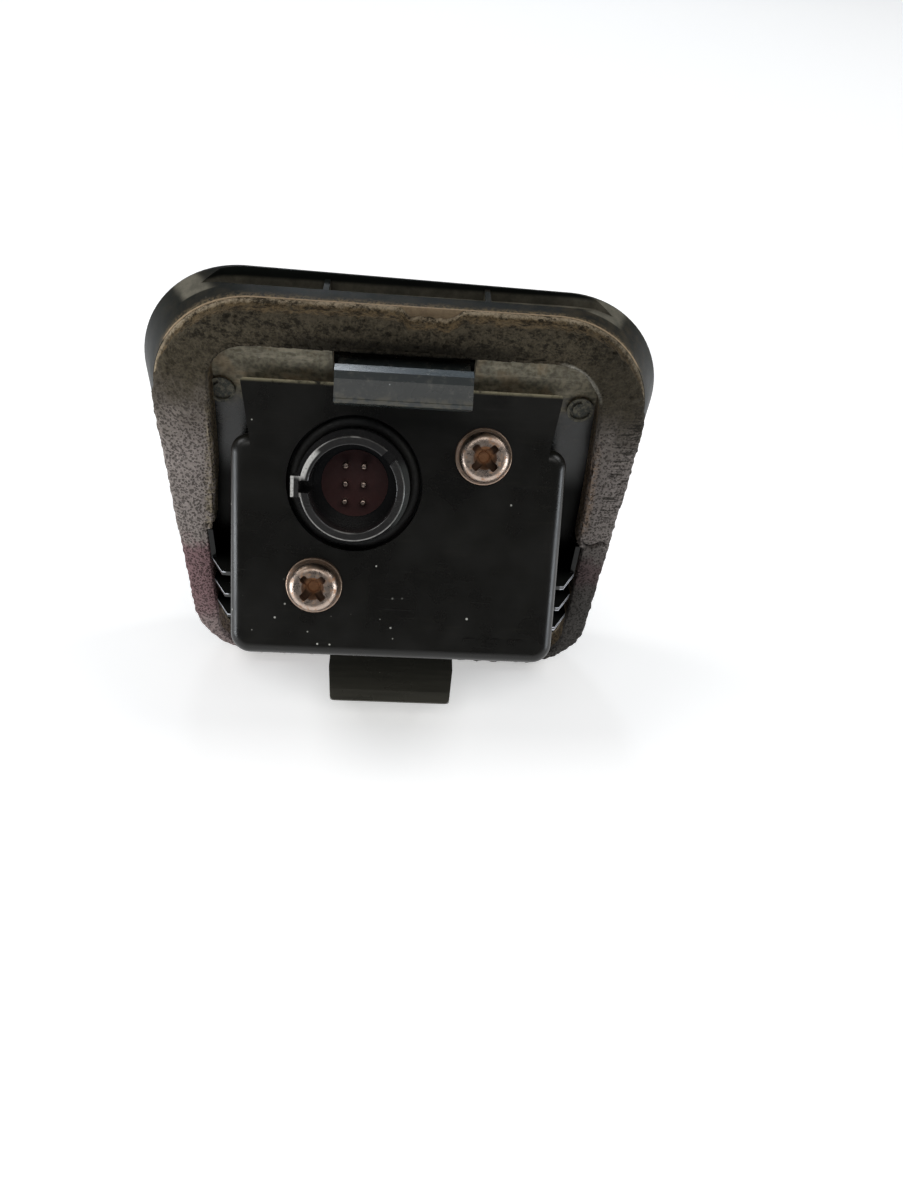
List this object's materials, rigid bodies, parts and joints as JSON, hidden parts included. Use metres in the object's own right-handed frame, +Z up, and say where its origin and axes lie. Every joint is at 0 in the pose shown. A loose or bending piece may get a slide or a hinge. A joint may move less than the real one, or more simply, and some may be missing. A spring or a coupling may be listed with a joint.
{
  "type": "backup camera",
  "caption": "Black snap-in backup camera: wedge housing behind a rounded bezel with an aged foam gasket, round pin socket, sprung top latch and hooked bottom tongue.",
  "frame": {"origin": "centre of the foam gasket's rear face, the face pressed on the panel's outer skin", "axes": "+X right when seen from behind, +Y forward, the way the lens looks, +Z up"},
  "size_m": [0.0589, 0.0313, 0.0526],
  "materials": {
    "bezel_plastic": "dusty black, low gloss",
    "foam": "open-pored dark grey foam, aged and dusty",
    "housing_plastic": "satin black",
    "latch_plastic": "satin black",
    "cover_plastic": "satin black",
    "seal_rubber": "black",
    "screw_steel": "tarnished, rust in the recess",
    "connector_plastic": "satin black",
    "insert_plastic": "dark red-brown",
    "pin_metal": "tin-plated",
    "board_laminate": "green solder mask",
    "terminal_plastic": "natural",
    "chip_plastic": "black moulding",
    "capacitor_ceramic": "tan",
    "shield_steel": "tin-plated",
    "spacer_brass": "plain",
    "inner_screw_steel": "plated",
    "frame_plastic": "glass-filled black",
    "sensor_glass": "dark, iridescent",
    "filter_glass": "pale tint",
    "barrel_aluminium": "black anodised",
    "lens_glass": "coated",
    "retainer_plastic": "black"
  },
  "bodies": {
    "camera": {"front_bezel": "bezel_plastic", "foam_gasket": "foam", "housing": "housing_plastic", "rear_cover": "cover_plastic", "cover_seal": "seal_rubber", "cover_screw_upper": "screw_steel", "cover_screw_lower": "screw_steel", "connector_shell": "connector_plastic", "connector_insert": "insert_plastic", "connector_seal": "seal_rubber", "contact_pin_1": "pin_metal", "contact_pin_2": "pin_metal", "contact_pin_3": "pin_metal", "contact_pin_4": "pin_metal", "contact_pin_5": "pin_metal", "contact_pin_6": "pin_metal", "main_board": "board_laminate", "sensor_board": "board_laminate", "board_plug": "terminal_plastic", "board_receptacle": "terminal_plastic", "processor_chip": "chip_plastic", "board_capacitors": "capacitor_ceramic", "shield_can": "shield_steel", "board_spacer_1": "spacer_brass", "board_spacer_2": "spacer_brass", "board_screw_1": "inner_screw_steel", "board_screw_2": "inner_screw_steel", "module_frame": "frame_plastic", "image_sensor": "sensor_glass", "ir_filter": "filter_glass", "lens_barrel": "barrel_aluminium", "front_lens": "lens_glass", "middle_lens": "lens_glass", "rear_lens": "lens_glass", "lens_retainer": "retainer_plastic", "lens_seal": "seal_rubber"},
    "latch": {"top_latch": "latch_plastic"}
  },
  "joints": [
    {"name": "latch_flex", "type": "hinge", "parent": "camera", "child": "latch", "pos_m": [0, 0.0062, 0.02], "axis": [1, 0, 0], "range_deg": [0, 11], "stiffness_Nm_per_rad": 0.3}
  ]
}
